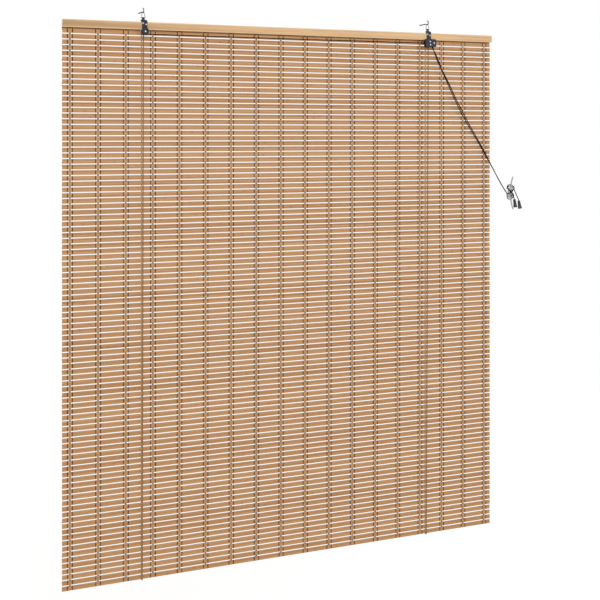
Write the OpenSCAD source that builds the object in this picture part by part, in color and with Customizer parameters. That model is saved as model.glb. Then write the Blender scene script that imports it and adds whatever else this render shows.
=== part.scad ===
// Bamboo roll up blind: a head rail with a woven mat of slat pairs, hung from two wall hooks.
// X runs along the rail, Z is up and the front faces -Y. The wall is the plane Y = 0.
// The origin is on the wall, half way along the rail, at the height of the two hook screws.

/* [Head rail] */
// Length of the rail
rail_w = 1400; // [1000:10:1500]
// Height of the rail
rail_h = 22; // [18:0.5:26]
// Thickness of the rail, front to back
rail_t = 12; // [11:0.5:16]
// Radius of the rail's long edges
rail_round = 1.2; // [0.5:0.1:2.5]
// From the hook screws down to the top of the rail
rail_drop = 29; // [28:0.5:31]
// From the wall to the back of the rail
rail_off = 7; // [6.5:0.5:12]

/* [Slat mat] */
// Number of slat pairs
pair_count = 100; // [20:1:110]
// Width of one slat
slat_w = 6.4; // [5:0.1:7]
// Thickness of one slat in the middle
slat_t = 1.8; // [1.4:0.1:2]
// Thickness of one slat at its edges
slat_edge_t = 1; // [0.6:0.1:1.2]
// Width of the rounded shoulder beside each edge of a slat
slat_shoulder = 1.3; // [0.8:0.1:2]
// Seam between the two slats of a pair
slat_seam = 0.15; // [0.1:0.05:0.4]
// See-through gap after each pair
pair_gap = 3; // [2:0.1:3.8]
// From the end of the rail to the end of the slats
mat_inset = 0; // [0:0.5:8]
// From the top of the rail down to the first slat pair, which is behind the rail
mat_drop = 8.5; // [8:0.5:9]

/* [Warp threads] */
// Number of pairs of warp threads
warp_count = 18; // [6:1:24]
// From the end of the rail to the middle of the first pair of threads
warp_inset = 22; // [16:1:40]
// Between the two threads of a pair
warp_spread = 14; // [10:0.5:18]
// Width of a thread where it lies on a slat
thread_w = 1.4; // [1:0.1:2]
// Thickness of a thread where it lies on a slat
thread_t = 0.6; // [0.4:0.1:0.8]
// Width of the crossed threads in a gap
cross_w = 3; // [2:0.5:4]

/* [Clamp strips] */
// Height of the strips behind the top of the mat
strip_h = 17; // [14:0.5:20]
// Thickness of the strips
strip_t = 1.2; // [0.8:0.1:1.4]
// From the top of the mat down to the strips
strip_drop = 1; // [0.8:0.1:1.5]
// Gap left between two strips where a cord goes down
strip_gap = 5; // [4:0.5:8]

/* [Staples] */
// Width of a mat staple
staple_w = 10; // [8:0.5:12]
// Thickness of the staple wire
staple_wire = 1; // [0.8:0.1:1.2]
// Depth of the staple legs in the rail
staple_bite = 6; // [4:0.5:8]

/* [Hooks] */
// Thickness of the hook wire
hook_wire = 3.2; // [2.8:0.1:3.6]
// Length of the screw thread in the wall
hook_screw = 30; // [20:1:40]
// Length of the screw's point
hook_point = 4; // [3:0.5:6]
// Radius of the open hook, to the middle of its wire
hook_r = 6; // [5:0.1:7]
// How far the seat of the hook lies below its screw
seat_drop = 2.5; // [2:0.1:3]
// Angle over which the wire eases from the screw into the seat
ease_angle = 30; // [28:1:34]
// How far the hook goes on past its highest point
tip_angle = 20; // [0:1:30]
// Diameter of the collar that stops the screw at the wall
collar_d = 4.4; // [4:0.1:5]
// Thickness of the collar
collar_t = 2; // [1.5:0.5:3]

/* [Bails] */
// Thickness of the bail wire
bail_wire = 1.6; // [1.4:0.1:1.8]
// Width of the bail, to the outside of its wire
bail_w = 13.5; // [13:0.5:15]
// Bend of the bail at its lower corners, to the middle of its wire
bail_corner_r = 1.6; // [1.3:0.1:1.7]
// Clearance of the bail on the hook
bail_clear = 0.05; // [0.02:0.01:0.1]

/* [Brackets] */
// Thickness of the pressed sheet
sheet_t = 1.2; // [1:0.1:1.4]
// Width of the strap
strap_w = 15.5; // [14:0.5:17]
// Middle of the left strap
left_strap_x = -466.4; // [-466.6:0.1:-466.2]
// Middle of the right strap
right_strap_x = 464; // [463.8:0.1:464.2]
// The eye's middle, from the middle of the strap
eye_x = -4.2; // [-4.4:0.1:-4]
// Width of the curled eye
eye_w = 8.2; // [7:0.1:8.4]
// Clearance of the bail in the eye
eye_clear = 0.15; // [0.1:0.05:0.25]
// From the hook screws down to the middle of the eye
eye_drop = 17.6; // [16.5:0.1:18.5]
// Width of the neck where it is narrowest
waist_w = 6.5; // [5:0.5:8]
// Radius of the round shoulder
shoulder_r = 5; // [4:0.5:6]
// Inside depth of the pulley cage and of the lock, front to back
cage_gap = 8.8; // [8.4:0.1:9.4]
// Outer bend radius where the sheet is folded
fold_r = 2; // [1.6:0.1:2.4]
// Radius of the cheeks' corners
cheek_r = 5; // [3:0.5:6]
// Diameter of the strap screws
screw_d = 2.8; // [2.4:0.1:3.2]
// Diameter of the strap screws' heads
screw_head_d = 5; // [4.5:0.1:5.6]
// Length of the strap screws in the rail
screw_bite = 9; // [7:0.5:10]

/* [Pulleys] */
// Diameter of the axle rivets
rivet_d = 3; // [2.6:0.1:3.2]
// Diameter of the rivet heads
rivet_head_d = 4.6; // [4:0.1:5]
// Height of the domed rivet heads
rivet_head_h = 1; // [0.7:0.1:1.3]
// Running clearance of a roller on its rivet, in radius
run_clear = 0.05; // [0.02:0.01:0.08]
// Clearance between a roller and the cheek at each side
side_clear = 0.3; // [0.2:0.05:0.4]
// Clearance between a cord and the groove that it runs in
cord_clear = 0.3; // [0.2:0.05:0.4]
// Radius of the left pulley's flanges
sheave_flange_r = 6.8; // [6.2:0.1:7]
// Radius of the lock roller's flanges
roller_flange_r = 5.6; // [5.2:0.1:5.7]
// Thickness of the flanges
flange_t = 0.9; // [0.7:0.1:1.1]
// Radius of the keeper roller above the cords
keeper_r = 4.2; // [3.8:0.1:4.3]
// Diameter of the pin that guides the cord out of the left pulley
guide_d = 3; // [2.6:0.1:3]

/* [Cam] */
// Reach of the cam's toothed nose from its pivot
cam_reach = 7.9; // [7.4:0.1:8]
// Radius of the cam round its pivot
cam_hub_r = 4; // [3.4:0.1:4.4]
// Number of teeth on the nose
cam_teeth = 7; // [5:1:9]
// Depth of the teeth
cam_tooth = 0.7; // [0.4:0.1:0.9]

/* [Cords] */
// Thickness of the cords
cord_d = 2; // [1.8:0.1:2]
// Radius of the stopper knots
knot_r = 2.2; // [2:0.1:2.4]

/* [Cleat] */
// From the end of the rail to the middle of the cleat
cleat_out = 80; // [79.5:0.1:80.5]
// From the hook screws down to the middle of the cleat
cleat_drop = 546; // [545.5:0.1:546.5]
// Length of the cleat, tip to tip
cleat_l = 111; // [106:1:120]
// Thickness of the horns where they leave the body
horn_d = 5.2; // [4.6:0.1:5.6]
// Thickness of the horns near their tips
horn_tip_d = 4; // [3:0.1:4.6]
// How far the tips stand off the wall, to the middle of the horn
horn_off = 22; // [20:0.5:25]
// Width of the cleat's body
cleat_w = 12; // [11:0.5:12.4]
// Height of the cleat's body
cleat_h = 34; // [32:0.5:36]
// Depth of the cleat's body
cleat_t = 13; // [12.6:0.1:13]
// Radius of the body's round ends
cleat_round = 5; // [3:0.5:5.4]
// Distance between the cleat's two screw holes
cleat_holes_apart = 18; // [16:0.5:20]
// Diameter of the cleat's screw holes
cleat_hole_d = 4; // [3.5:0.1:4.2]

/* [Tassels] */
// Length of a tassel
tassel_l = 26; // [22:0.5:30]
// Diameter of a tassel at its top
tassel_top_d = 9; // [8:0.5:10]
// Diameter of a tassel at its mouth
tassel_mouth_d = 14; // [13:0.5:16]
// Wall of a tassel
tassel_wall = 1.6; // [1.2:0.1:2]
// Diameter of the hole that the cord comes through
tassel_hole_d = 2.6; // [2.4:0.1:3.2]

/* [Hidden] */

// Places from front to back
rail_back = -rail_off;
rail_front = rail_back - rail_t;
mat_front = rail_back;
mat_mid = mat_front + slat_t / 2;
mat_back = mat_front + slat_t;
strap_front = rail_front - sheet_t;
eye_r_in = bail_wire / 2 + eye_clear;
eye_r_out = eye_r_in + sheet_t;
eye_y = strap_front + eye_r_out;
cheek_back = strap_front - cage_gap;
cheek_front = cheek_back - sheet_t;
cord_y = strap_front - cage_gap / 2;

// Heights
rail_top = -rail_drop;
rail_low = rail_top - rail_h;
pair_h = 2 * slat_w + slat_seam;
pair_pitch = pair_h + pair_gap;
mat_top = rail_top - mat_drop;
mat_low = mat_top - pair_h - (pair_count - 1) * pair_pitch;
mat_w = rail_w - 2 * mat_inset;

// Warp threads
warp_pitch = (rail_w - 2 * warp_inset) / (warp_count - 1);
function warp_x(i) = -rail_w / 2 + warp_inset + i * warp_pitch;

// Clamp strips lie on the back threads, with the crowns of the mat staples on them
strip_front = mat_back + thread_t + 0.1;
strip_back = strip_front + strip_t;
strip_top = mat_top - strip_drop;

// Mat staples stand half way between every second pair of warp threads, through the top slat
staple_half = (staple_w - staple_wire) / 2;
staple_z = mat_top - slat_w / 2;
staple_places = [for (i = [1 : 2 : warp_count - 2]) (warp_x(i) + warp_x(i + 1)) / 2];

// Pulley and lock: pivots and cheeks, all from the middle of their own strap and the rail's top
left_pivot = [-0.3, rail_top - 28];
left_guide = [7.2, rail_top - 32.6];
left_cheek = [-11.1, 8.9, rail_top - 18.5, rail_top - 38.5];
keeper_pivot = [-0.4, rail_top - 27.4];
roller_pivot = [0.6, rail_top - 37.6];
cam_pivot = [13.7, rail_top - 32.1];
lock_cheek = [-17.7, 8, rail_top - 19, rail_top - 46];
lobe_cheek = [6.5, 21.6, rail_top - 19.7, rail_top - 44.2];
left_turn_r = 4.8;
roller_turn_r = 4.6;
roller_w = cage_gap - 2 * side_clear;
lane = 1.8;
bore_r = rivet_d / 2 + run_clear;

// The strap's two screws, from the middle of the strap and the rail's top
screw_places = [[-4.8, -4], [4.2, -7.4]];

// Hook: the seat lies under the bail, and an easing bend carries it to the screw
seat_y = eye_y;
hook_mid_z = hook_r - seat_drop;
ease_r = seat_drop / (1 - cos(ease_angle)) - hook_r;
ease_y = seat_y + (hook_r + ease_r) * sin(ease_angle);
hook_steps = 16;
hook_line = concat([[0, -collar_t / 2, 0]],
    [for (k = [0 : 3]) let (a = k * ease_angle / 4)
        [0, ease_y - ease_r * sin(a), ease_r * cos(a) - ease_r]],
    [for (k = [0 : hook_steps]) let (a = -ease_angle + k * (180 + tip_angle + ease_angle) / hook_steps)
        [0, seat_y - hook_r * sin(a), hook_mid_z - hook_r * cos(a)]]);

// Bail: a rounded triangle of wire with its apex on the hook's seat and its bar in the eye
bail_apex_r = hook_wire / 2 + bail_clear + bail_wire / 2;
bail_apex_z = -seat_drop;
bail_bar_z = -eye_drop;
bail_corner_x = bail_w / 2 - bail_wire / 2 - bail_corner_r;
bail_corner_z = bail_bar_z + bail_corner_r;
bail_side = norm([bail_corner_x, bail_corner_z - bail_apex_z]);
bail_lean = asin((bail_apex_r - bail_corner_r) / bail_side);
bail_normal = atan2(bail_corner_z - bail_apex_z, bail_corner_x) + 90 - bail_lean;
bail_line = [for (c = [[0, bail_apex_z, bail_apex_r, bail_normal, 180 - bail_normal],
                       [-bail_corner_x, bail_corner_z, bail_corner_r, 180 - bail_normal, 270],
                       [bail_corner_x, bail_corner_z, bail_corner_r, 270, 360 + bail_normal]],
                  k = [0 : 6])
    let (a = c[3] + (c[4] - c[3]) * k / 6) [c[0] + c[2] * cos(a), 0, c[1] + c[2] * sin(a)]];

// Cleat
cleat_x = rail_w / 2 + cleat_out;
cleat_z = -cleat_drop;
cleat_head_r = cleat_hole_d * 0.85;
cleat_sink = 2.4;
horn_start = cleat_h / 2 - horn_d / 2;
horn_root_y = cleat_t - horn_d / 2;
horn_rise = cleat_l / 2 - horn_d / 2 - horn_start;
horn_out = horn_off - horn_root_y;
horn_bend_r = (horn_rise * horn_rise + horn_out * horn_out) / (2 * horn_out);
horn_sweep = asin(horn_rise / horn_bend_r);
horn_steps = 8;
horn_radii = concat([for (k = [0 : horn_steps]) horn_d / 2 + (horn_tip_d - horn_d) / 2 * k / horn_steps],
                    [for (a = [35, 70]) horn_tip_d / 2 * cos(a)]);
function horn_line(side) = let (top = horn_start + horn_rise)
    concat([for (k = [0 : horn_steps]) let (g = horn_sweep * k / horn_steps)
        [0, -horn_root_y - horn_bend_r * (1 - cos(g)), side * (horn_start + horn_bend_r * sin(g))]],
    [for (a = [35, 70]) let (d = horn_tip_d / 2 * sin(a))
        [0, -horn_off - d * sin(horn_sweep), side * (top + d * cos(horn_sweep))]]);

// Cord staples and knots behind the rail
cord_staple_z = rail_top - 6.5;
rail_knot_z = rail_top - 3;
cord_back_y = -4;
cord_staple_half = (cord_d + staple_wire) / 2;

// Routes of the cords: up the back, under the mat, up the front, over the pulley and to the cleat
left_route = [
    [-471.5, -4.2, -32], [-471.5, -4, -50], [-471.5, -3.1, -1600], [-471.5, -3.1, -1627.6],
    [-471.5, -3.6, -1629.5], [-471.5, -5, -1630.9], [-471.5, -6.9, -1631.4],
    [-471.5, -8.8, -1630.9], [-471.5, -10.2, -1629.5], [-471.5, -10.7, -1627.6],
    [-471.5, -11, -1600], [-471.5, -24.6, -62], [-471.5, -24.6, -57],
    [-470.9, -24.6, -54.6], [-469.1, -24.6, -52.8], [-466.7, -24.6, -52.2],
    [-464.3, -24.6, -52.8], [-462.5, -24.6, -54.6], [-461.9, -24.6, -57],
    [-462, -24.6, -61.5], [-461.6, -24.6, -63], [-460.6, -24.6, -64], [-459.2, -24.6, -64.4],
    [-455, -24.6, -64.4], [0, -25.5, -63.6], [455, -26.4, -62], [464.6, -26.4, -62],
    [466.9, -26.4, -62.6], [468.6, -26.4, -64.3], [475.5, -26.4, -77], [483, -26.5, -97],
    [494, -25.8, -122], [512, -25.4, -151], [536, -23.6, -190], [568, -21.6, -247],
    [612, -20.3, -318], [657, -20.6, -387], [704, -17.5, -462], [745, -15.5, -526],
    [764, -15.5, -548], [771, -16.6, -547], [780, -16.8, -541], [788, -14.5, -535],
    [793.4, -9.5, -529], [788.4, -5.4, -521.8], [780, -4.5, -519.6], [771.6, -5.2, -521.8],
    [765.8, -9.6, -529], [770, -16, -537.4], [777, -18.7, -546.4], [783, -19.8, -555.4],
    [786.2, -18.9, -561.6], [787.1, -18.5, -564.4], [787.5, -18.5, -566.6],
    [789.4, -18.5, -577.1]];
right_route = [
    [460, -4.2, -32], [460, -4, -50], [460, -3.1, -1600], [460, -3.1, -1627.6],
    [460, -3.6, -1629.5], [460, -5, -1630.9], [460, -6.9, -1631.4], [460, -8.8, -1630.9],
    [460, -10.2, -1629.5], [460, -10.7, -1627.6], [460, -11, -1600], [460, -22.8, -75],
    [460, -22.8, -66.6], [460.6, -22.8, -64.3], [462.3, -22.8, -62.6], [464.6, -22.8, -62],
    [466.9, -22.8, -62.6], [468.6, -22.8, -64.3], [475.5, -22.8, -77], [488, -22.6, -97],
    [500, -22.4, -122], [512, -22.2, -151], [533, -21.6, -190], [563, -20.6, -247],
    [607, -18.8, -318], [655, -17.2, -387], [705, -14.8, -462], [747, -13, -526],
    [762, -12.8, -547], [765, -10.6, -557], [770.4, -6, -564.6], [780, -4, -567.4],
    [787, -5.4, -565], [790.6, -9.6, -558.6], [787.4, -14.4, -551.4], [780, -14.4, -544.4],
    [772.8, -14.5, -537], [768.8, -9, -531.4], [773, -5.2, -525.6], [780, -4, -524.2],
    [787.2, -5.2, -526], [791, -9.4, -532], [793.4, -14.6, -542], [794.6, -20.6, -553],
    [796, -26, -562], [797.2, -29.2, -568.4], [797.6, -29.5, -570.6], [799.7, -29.5, -581.1]];

// Tassels: each one hangs a little aslant, with the rim of its inner hole on the cord's end knot
left_lean = 10;
right_lean = 11;
tassel_web = tassel_l * 0.3;
tassel_seat = tassel_web + sqrt(pow(knot_r, 2) - pow(tassel_hole_d / 2, 2)) + 0.05;

$fn = 48;

function unit(v) = v / norm(v);
function dirs(p, closed) = let (n = len(p)) [for (i = [0 : n - 1])
    closed ? unit(p[(i + 1) % n] - p[(i + n - 1) % n])
           : unit(p[min(i + 1, n - 1)] - p[max(i - 1, 0)])];
function carried(t, n, i = 0) = i == len(t) ? [] :
    let (m = unit(n - (n * t[i]) * t[i])) concat([m], carried(t, m, i + 1));

// A round rod along a line of points, one ring at each point; radii is one radius or a list
module swept(line, radii, sides = 8, closed = false) {
    count = len(line);
    t = dirs(line, closed);
    n = carried(t, [1, 0.2, 0.1]);
    rings = [for (i = [0 : count - 1], k = [0 : sides - 1])
        let (r = is_list(radii) ? radii[i] : radii, a = k * 360 / sides)
        line[i] + r * (cos(a) * n[i] + sin(a) * cross(t[i], n[i]))];
    walls = [for (i = [0 : count - (closed ? 1 : 2)], k = [0 : sides - 1])
        let (j = (i + 1) % count, m = (k + 1) % sides)
        [i * sides + k, j * sides + k, j * sides + m, i * sides + m]];
    last = (count - 1) * sides;
    ends = [[for (k = [0 : sides - 1]) k], [for (k = [0 : sides - 1]) last + sides - 1 - k]];
    polyhedron(points = rings, faces = closed ? walls : concat(walls, ends), convexity = 20);
}

// A flat outline stood upright: its x stays X and its y becomes Z
module upright(back, depth) {
    translate([0, back, 0]) rotate([90, 0, 0]) linear_extrude(depth) children();
}

// A rod or a hole that runs from back to front
module across(x, z, r, back, depth) {
    translate([x, back, z]) rotate([90, 0, 0]) cylinder(r = r, h = depth);
}

module round_box(x0, x1, z_top, z_low, r) {
    translate([x0 + r, z_low]) square([x1 - x0 - 2 * r, z_top - z_low]);
    translate([x0, z_low + r]) square([x1 - x0, z_top - z_low - 2 * r]);
    for (x = [x0 + r, x1 - r], z = [z_low + r, z_top - r]) translate([x, z]) circle(r);
}

// Head rail: a planed batten with rounded long edges
module head_rail() {
    color("#dcb98a") difference() {
        translate([-rail_w / 2, 0, 0]) rotate([90, 0, 90]) linear_extrude(rail_w)
            round_box(rail_front, rail_back, rail_top, rail_low, rail_round);
        for (strap = [left_strap_x, right_strap_x], s = screw_places)
            across(strap + s[0], rail_top + s[1], screw_d / 2, rail_front + screw_bite,
                   screw_bite + 1);
        for (x = staple_places)
            staple_legs(x, staple_z, staple_half, rail_back + 1, rail_back - staple_bite);
        for (x = [left_route[0][0], right_route[0][0]])
            staple_legs(x, cord_staple_z, cord_staple_half, rail_back + 1,
                        rail_back - staple_bite);
    }
}

// One pair of slats in section: two crowned slats with a fine seam between them
module pair_section() {
    e = slat_edge_t / 2;
    c = slat_t / 2;
    low = [for (k = [0, 1], p = [[e, 0], [c, slat_shoulder], [c, slat_w - slat_shoulder],
        [e, slat_w]]) [p[0], p[1] + k * (slat_w + slat_seam)]];
    other = [for (i = [len(low) - 1 : -1 : 0]) [-low[i][0], low[i][1]]];
    polygon(concat(low, other));
}

// Slat mat: every pair of slats, held in one piece by the outermost crossed threads
module slat_mat() {
    color("#b98e66") difference() {
        union() {
            for (i = [0 : pair_count - 1])
                translate([-mat_w / 2, mat_mid, mat_top - pair_h - i * pair_pitch])
                    rotate([90, 0, 90]) linear_extrude(mat_w) pair_section();
            for (i = [0, warp_count - 1])
                translate([warp_x(i) - cross_w / 2, mat_mid - slat_edge_t / 2, mat_low])
                    cube([cross_w, slat_edge_t, mat_top - mat_low]);
        }
        for (x = staple_places)
            staple_legs(x, staple_z, staple_half, mat_back + 1, mat_front - 1);
    }
}

// Warp threads where they lie on the slats
module warp_threads(y_low, z_high) {
    for (i = [0 : warp_count - 1], side = [-1, 1])
        translate([warp_x(i) + side * warp_spread / 2 - thread_w / 2, y_low, mat_low])
            cube([thread_w, thread_t, z_high - mat_low]);
}

module front_warp_threads() {
    color("#54392a") warp_threads(mat_front - thread_t, rail_low);
}

module back_warp_threads() {
    color("#54392a") warp_threads(mat_back, mat_top);
}

// Thin strips behind the top of the mat, which the mat staples hold; the cords pass between them
module clamp_strips() {
    ends = [-mat_w / 2, left_route[0][0] - strip_gap / 2, left_route[0][0] + strip_gap / 2,
            right_route[0][0] - strip_gap / 2, right_route[0][0] + strip_gap / 2, mat_w / 2];
    color("#6b5a49") difference() {
        for (i = [0, 2, 4])
            translate([ends[i], strip_front, strip_top - strip_h])
                cube([ends[i + 1] - ends[i], strip_t, strip_h]);
        for (x = staple_places)
            staple_legs(x, staple_z, staple_half, strip_back + 1, strip_front - 1);
    }
}

// Two legs of square wire, from the back towards the front
module staple_legs(x, z, half, back, front) {
    for (side = [-1, 1])
        translate([x + side * half - staple_wire / 2, front, z - staple_wire / 2])
            cube([staple_wire, back - front, staple_wire]);
}

// A staple of square wire: its legs and a crown along X
module staple(x, z, half, crown_y) {
    staple_legs(x, z, half, crown_y + staple_wire, rail_back - staple_bite);
    translate([x - half, crown_y, z - staple_wire / 2])
        cube([2 * half, staple_wire, staple_wire]);
}

module mat_staples() {
    color("#b9bcc0") for (x = staple_places) staple(x, staple_z, staple_half, strip_back);
}

module cord_staples() {
    color("#b9bcc0") for (x = [left_route[0][0], right_route[0][0]])
        staple(x, cord_staple_z, cord_staple_half, cord_back_y + cord_d / 2);
}

module rail_knots() {
    color("#6d4a33") for (x = [left_route[0][0], right_route[0][0]])
        translate([x, rail_back + knot_r + cord_clear, rail_knot_z]) sphere(knot_r);
}

// Screw hook: point and thread in the wall, a collar, and wire bent to an open hook with its seat
module wall_hook(strap) {
    r = hook_wire / 2;
    tip = hook_line[len(hook_line) - 1];
    out = [0, cos(tip_angle), -sin(tip_angle)];
    color("#a9adb2") translate([strap + eye_x, 0, 0]) {
        translate([0, -collar_t / 2, 0]) rotate([-90, 0, 0])
            cylinder(r = r, h = hook_screw + collar_t / 2);
        translate([0, -collar_t, 0]) rotate([-90, 0, 0]) cylinder(d = collar_d, h = collar_t);
        translate([0, hook_screw, 0]) rotate([-90, 0, 0])
            cylinder(r1 = r, r2 = 0.3, h = hook_point);
        swept(concat(hook_line, [for (a = [35, 70]) tip + r * sin(a) * out]),
              concat([for (p = hook_line) r], [for (a = [35, 70]) r * cos(a)]), 12);
    }
}

module left_hook() { wall_hook(left_strap_x); }
module right_hook() { wall_hook(right_strap_x); }

// Bail: one closed wire, with its apex over the hook and its bar through the eye
module bail(strap) {
    color("#c3c6c9") translate([strap + eye_x, eye_y, 0])
        swept(bail_line, bail_wire / 2, 10, closed = true);
}

module left_bail() { bail(left_strap_x); }
module right_bail() { bail(right_strap_x); }

// Outline of the strap from its curled eye down to the cheek, with one sharp and one round shoulder
module strap_outline(z_low) {
    corner = [eye_x - 9.2, rail_top + 3.4];
    polygon([[eye_x - eye_w / 2, -eye_drop], [eye_x - waist_w / 2, -eye_drop - 3], corner,
        [-strap_w / 2 - 1, rail_top - 0.5], [-strap_w / 2, rail_top - 3], [-strap_w / 2, z_low],
        [strap_w / 2, z_low], [strap_w / 2, rail_top + 0.5],
        [strap_w / 2 - 4, rail_top + 5], [eye_x + waist_w / 2 + 1.5, rail_top + 6.5],
        [eye_x + waist_w / 2, -eye_drop - 3], [eye_x + eye_w / 2, -eye_drop]]);
    translate([strap_w / 2 - shoulder_r + 0.6, rail_top + 0.5]) circle(shoulder_r);
}

// The fold that joins the two cheeks at their left edge, seen from above
module fold(x0, z_top, z_low) {
    translate([0, 0, z_low]) linear_extrude(z_top - z_low) intersection() {
        difference() {
            round_box(x0, x0 + 10, rail_front, cheek_front, fold_r);
            round_box(x0 + sheet_t, x0 + 12, strap_front, cheek_back, fold_r - sheet_t);
        }
        translate([x0, cheek_front]) square([fold_r, rail_front - cheek_front]);
    }
}

// Strap, eye and back cheek are one sheet, folded round to the front cheek
module bracket(strap, screw_y = screw_places) {
    translate([strap, 0, 0]) difference() {
        union() {
            upright(rail_front, sheet_t) strap_outline(rail_top - 21);
            translate([eye_x - eye_w / 2, eye_y, -eye_drop]) rotate([0, 90, 0])
                cylinder(r = eye_r_out, h = eye_w);
            children(0);
        }
        translate([eye_x - eye_w / 2 - 1, eye_y, -eye_drop]) rotate([0, 90, 0])
            cylinder(r = eye_r_in, h = eye_w + 2);
        for (s = screw_y)
            across(s[0], rail_top + s[1], screw_d / 2, rail_front + 1, sheet_t + 2);
        children(1);
    }
}

module left_bracket() {
    c = left_cheek;
    color("#3b4044") bracket(left_strap_x) {
        union() {
            for (y = [rail_front, cheek_back]) upright(y, sheet_t) {
                round_box(c[0] + fold_r, c[1], c[2], c[3], cheek_r);
                translate([c[0] + fold_r, c[3] + cheek_r])
                    square([cheek_r, c[2] - c[3] - 2 * cheek_r]);
            }
            fold(c[0], c[2] - cheek_r, c[3] + cheek_r);
        }
        for (p = [[left_pivot, rivet_d], [left_guide, guide_d]])
            across(p[0][0], p[0][1], p[1] / 2, rail_front + 1, cage_gap + 2 * sheet_t + 2);
    }
}

module right_bracket() {
    c = lock_cheek;
    l = lobe_cheek;
    color("#3b4044") bracket(right_strap_x) {
        union() {
            for (y = [rail_front, cheek_back]) upright(y, sheet_t) {
                round_box(c[0] + fold_r, c[1], c[2], c[3], cheek_r);
                translate([c[0] + fold_r, c[3] + cheek_r])
                    square([cheek_r, c[2] - c[3] - 2 * cheek_r]);
                round_box(l[0], l[1], l[2], l[3], cheek_r);
            }
            difference() {
                fold(c[0], c[2] - cheek_r, c[3] + cheek_r);
                translate([c[0] - 1, cheek_back, rail_top - 37])
                    cube([fold_r + 2, cage_gap, 8]);
            }
        }
        for (p = [keeper_pivot, roller_pivot, cam_pivot])
            across(p[0], p[1], rivet_d / 2, rail_front + 1, cage_gap + 2 * sheet_t + 2);
    }
}

// Strap screws: pan heads on the strap, shanks in the rail
module bracket_screws() {
    head_r = screw_head_d / 2;
    head_h = head_r * 0.6;
    color("#d7dadd") for (strap = [left_strap_x, right_strap_x], s = screw_places)
        translate([strap + s[0], strap_front, rail_top + s[1]]) rotate([90, 0, 0]) {
            translate([0, 0, -sheet_t - screw_bite])
                cylinder(d = screw_d, h = sheet_t + screw_bite);
            rotate_extrude() intersection() {
                translate([0, head_h - head_r * 1.5]) circle(head_r * 1.5);
                square([head_r, head_h]);
            }
        }
}

// A domed rivet through both cheeks: bright head in front, peened head behind
module rivet(x, z) {
    head_r = rivet_head_d / 2;
    dome_r = (head_r * head_r + rivet_head_h * rivet_head_h) / (2 * rivet_head_h);
    across(x, z, rivet_d / 2, rail_front, cage_gap + 2 * sheet_t);
    translate([x, cheek_front, z]) rotate([90, 0, 0]) rotate_extrude() intersection() {
        translate([0, rivet_head_h - dome_r]) circle(dome_r);
        square([head_r, rivet_head_h]);
    }
    translate([x, rail_front, z]) rotate([-90, 0, 0])
        cylinder(r1 = head_r, r2 = rivet_d / 2, h = rivet_head_h);
}

module left_axle() {
    color("#e6e8ea") rivet(left_strap_x + left_pivot[0], left_pivot[1]);
}

module left_guide_pin() {
    color("#3b4044") across(left_strap_x + left_guide[0], left_guide[1], guide_d / 2,
                            rail_front, cage_gap + 2 * sheet_t);
}

module lock_rivets() {
    color("#e6e8ea") for (p = [keeper_pivot, roller_pivot, cam_pivot])
        rivet(right_strap_x + p[0], p[1]);
}

// A grooved roller: lanes lists the middle of each groove from the roller's own middle
module grooved(flange_r, turn_r, lanes) {
    root = turn_r - cord_d / 2 - cord_clear;
    half = cord_d / 2 + cord_clear;
    rotate([90, 0, 0]) rotate_extrude() difference() {
        translate([bore_r, -roller_w / 2]) square([flange_r - bore_r, roller_w]);
        for (y = lanes)
            polygon([[root, y - half], [root, y + half], [flange_r + 1, y + half + 0.3],
                     [flange_r + 1, y - half - 0.3]]);
    }
}

module left_sheave() {
    color("#c8b48a") translate([left_strap_x + left_pivot[0], cord_y, left_pivot[1]])
        grooved(sheave_flange_r, left_turn_r, [0]);
}

module cord_roller() {
    color("#c8b48a") translate([right_strap_x + roller_pivot[0], cord_y, roller_pivot[1]])
        grooved(roller_flange_r, roller_turn_r, [-lane, lane]);
}

module keeper_roller() {
    color("#c8b48a") translate([right_strap_x + keeper_pivot[0], cord_y + roller_w / 2,
                                keeper_pivot[1]]) rotate([90, 0, 0]) difference() {
        cylinder(r = keeper_r, h = roller_w);
        translate([0, 0, -1]) cylinder(r = bore_r, h = roller_w + 2);
    }
}

// Cam: a hub and a toothed nose that points at the cords
module lock_cam() {
    nose = 209;
    spread = 27;
    step = 2 * spread / cam_teeth;
    color("#8d9297") translate([right_strap_x + cam_pivot[0], cord_y + roller_w / 2,
                                cam_pivot[1]]) rotate([90, 0, 0]) difference() {
        linear_extrude(roller_w) {
            circle(cam_hub_r);
            polygon(concat([[0, 0]],
                [for (i = [0 : 2 * cam_teeth])
                    let (a = nose - spread + i * step / 2,
                         r = cam_reach - (i % 2) * cam_tooth)
                    [r * cos(a), r * sin(a)]]));
        }
        translate([0, 0, -1]) cylinder(r = bore_r, h = roller_w + 2);
    }
}

module left_cord() { color("#6d4a33") swept(left_route, cord_d / 2); }
module right_cord() { color("#6d4a33") swept(right_route, cord_d / 2); }

// Cleat: a body on the wall with one horn up and one down, each bent out to the front
module cleat() {
    color("#b4bac2") translate([cleat_x, 0, cleat_z]) difference() {
        union() {
            upright(0, cleat_t)
                round_box(-cleat_w / 2, cleat_w / 2, cleat_h / 2, -cleat_h / 2, cleat_round);
            for (side = [-1, 1]) swept(horn_line(side), horn_radii, 14);
        }
        for (side = [-1, 1]) translate([0, 0, side * cleat_holes_apart / 2]) {
            across(0, 0, cleat_hole_d / 2, 1, cleat_t + 2);
            across(0, 0, cleat_head_r, cleat_sink - cleat_t, cleat_sink + 1);
        }
    }
}

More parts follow.
